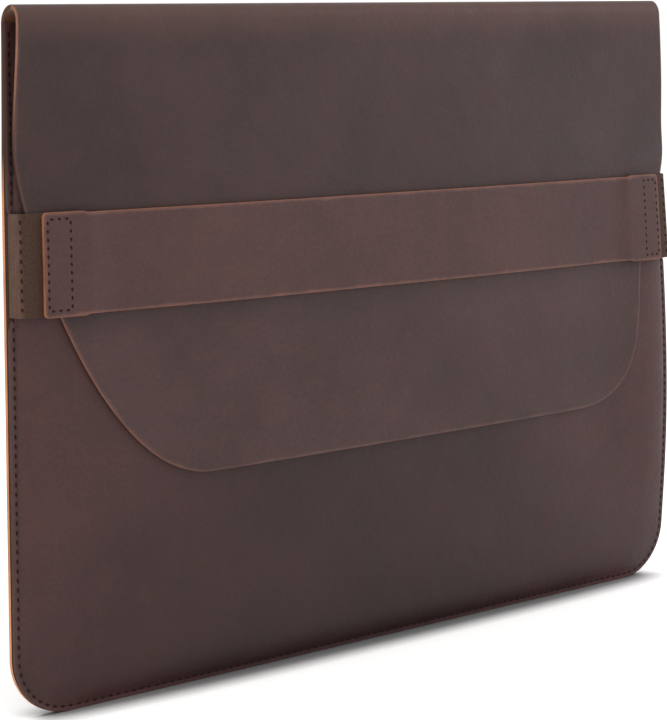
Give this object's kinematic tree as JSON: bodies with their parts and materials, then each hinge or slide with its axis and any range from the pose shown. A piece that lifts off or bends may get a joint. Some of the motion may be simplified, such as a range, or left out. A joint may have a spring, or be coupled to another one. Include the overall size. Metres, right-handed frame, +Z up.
{
  "type": "laptop sleeve",
  "caption": "Flat leather laptop sleeve with a fold-over flap that tucks under a cross strap held by elastic at the side seams.",
  "frame": {"origin": "centre of the bounding box's base: on the bottom edge, midway across the width and between the back face and the strap's thread", "axes": "+X across the width, to the right when facing the flap; +Z up from the sewn base to the fold over the mouth; the flap and strap face -Y and the flat back faces +Y"},
  "size_m": [0.33, 0.0168, 0.25],
  "materials": {
    "body_leather": "satin",
    "strap_leather": "satin",
    "elastic": "matte",
    "thread": "satin"
  },
  "bodies": {
    "pocket": {"back_panel": "body_leather", "front_panel": "body_leather", "seam_thread_front": "thread", "seam_thread_back": "thread", "elastic_left": "elastic", "elastic_right": "elastic", "elastic_thread_left": "thread", "elastic_thread_right": "thread"},
    "fold": {"fold_spine": "body_leather"},
    "flap": {"flap": "body_leather"},
    "strap": {"strap": "strap_leather", "strap_thread_left": "thread", "strap_thread_right": "thread"}
  },
  "joints": [
    {"name": "fold_open", "type": "hinge", "parent": "pocket", "child": "fold", "pos_m": [0, 0.0068, 0.24837], "axis": [-1, 0, 0], "range_deg": [0, 90]},
    {"name": "flap_open", "type": "hinge", "parent": "fold", "child": "flap", "pos_m": [0, -0.00105, 0.24837], "axis": [-1, 0, 0], "range_deg": [0, 90]},
    {"name": "strap_lift", "type": "slide", "parent": "pocket", "child": "strap", "axis": [0, -1, 0], "range_m": [0, 0.015], "stiffness_N_per_m": 400, "deforming": ["elastic_left", "elastic_right", "elastic_thread_left", "elastic_thread_right"]}
  ],
  "couplings": [
    {"joint": "flap_open", "follows": "fold_open", "ratio": 1}
  ]
}
